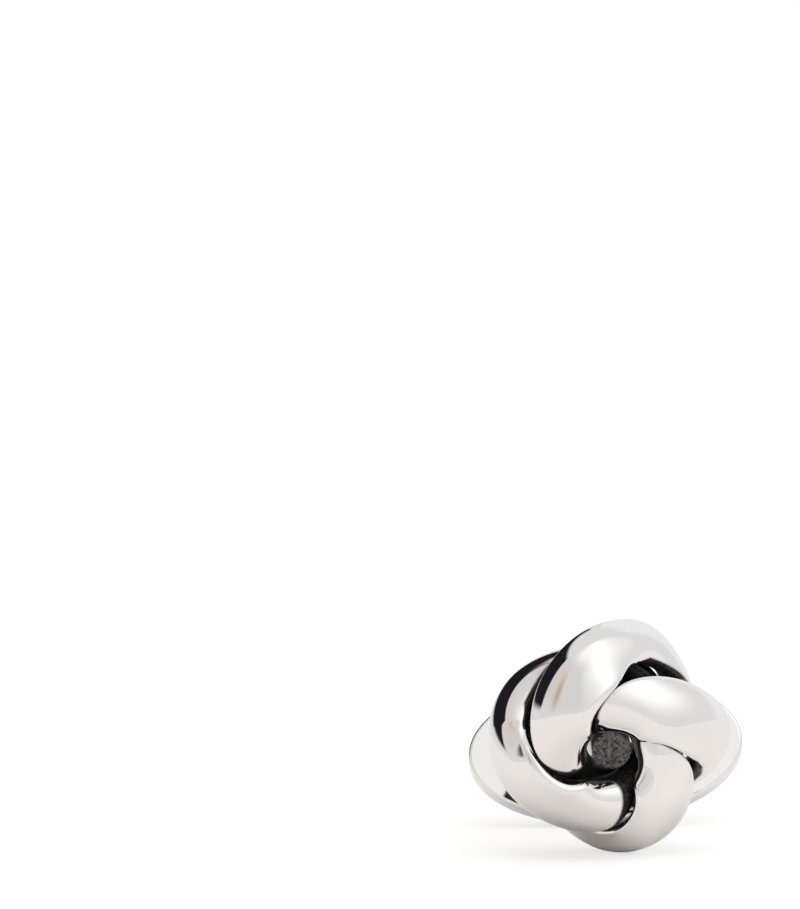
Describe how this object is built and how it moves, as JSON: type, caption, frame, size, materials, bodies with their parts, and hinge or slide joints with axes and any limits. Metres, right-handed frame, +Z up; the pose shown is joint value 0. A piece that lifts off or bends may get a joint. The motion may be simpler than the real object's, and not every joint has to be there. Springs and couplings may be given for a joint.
{
  "type": "knot cufflink",
  "caption": "Knot cufflink: interlinked polished bands form the face, and a curved post behind it carries an oval toggle that swivels to pass a buttonhole.",
  "frame": {"origin": "on the table, at the middle of the box around the cufflink as it lies", "axes": "+Z up from the table, -Y the way that the knot faces, X along the toggle"},
  "size_m": [0.0175, 0.023, 0.0147],
  "materials": {
    "knot_silver": "mirror polished silver",
    "post_silver": "polished silver, matt in the middle of the knot",
    "toggle_silver": "mirror polished silver",
    "pin_silver": "polished silver"
  },
  "bodies": {
    "knot": {"loop_1": "knot_silver", "loop_2": "knot_silver", "loop_3": "knot_silver", "loop_4": "knot_silver", "post": "post_silver"},
    "toggle": {"toggle": "toggle_silver", "hinge_pin": "pin_silver"}
  },
  "joints": [
    {"name": "toggle_swivel", "type": "hinge", "parent": "knot", "child": "toggle", "pos_m": [-0.00005, 0.00659, 0.00546], "axis": [-0.0654, 0.3484, 0.9351], "range_deg": [-90, 90]}
  ]
}
